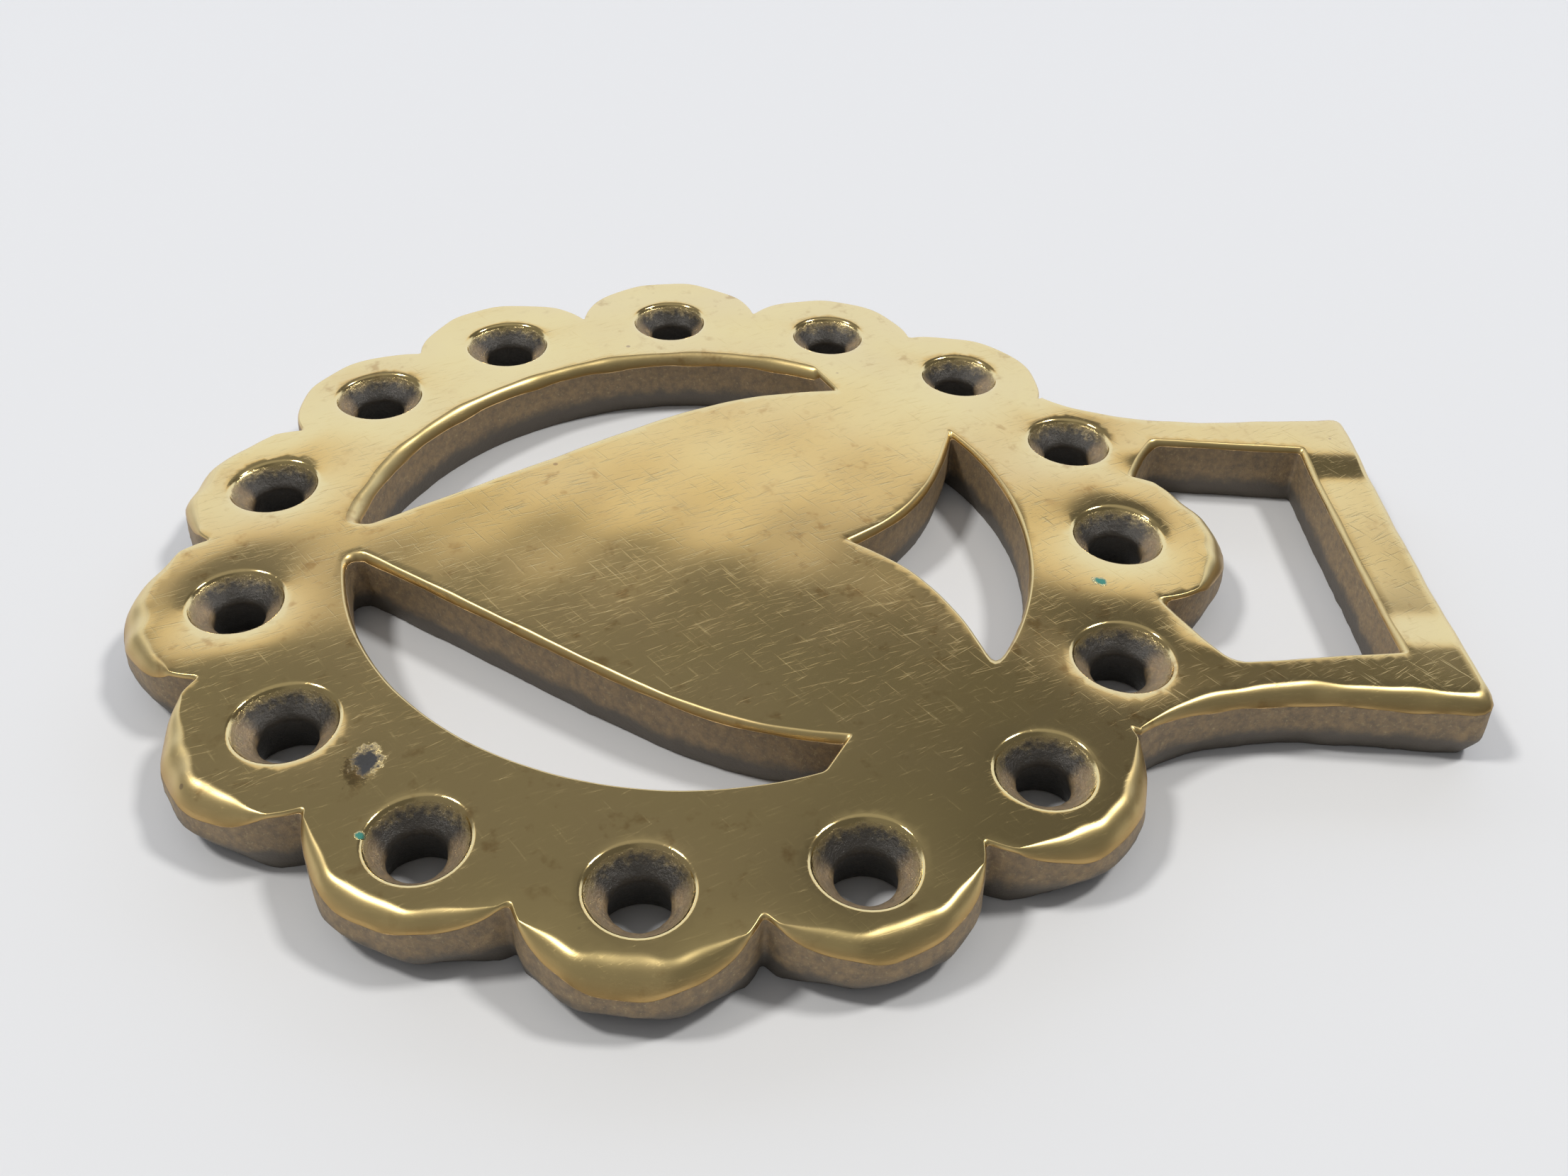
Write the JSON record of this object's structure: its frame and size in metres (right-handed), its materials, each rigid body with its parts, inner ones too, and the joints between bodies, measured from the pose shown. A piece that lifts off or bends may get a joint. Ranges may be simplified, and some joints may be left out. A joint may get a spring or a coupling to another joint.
{
  "type": "horse brass",
  "caption": "Cast brass harness ornament: a pierced heart inside a ring of countersunk lobes, with a rectangular strap loop above.",
  "frame": {"origin": "centre of the ring on the flat back face, which is what the brass lies on", "axes": "+Z out of the front face, +Y from the ring's centre towards the strap loop, +X to the right seen from the front"},
  "size_m": [0.075, 0.0901, 0.005],
  "materials": {
    "brass": "worn satin polish on the face, dark oxide on the cast walls"
  },
  "bodies": {
    "root": {"horse_brass": "brass"}
  },
  "joints": []
}
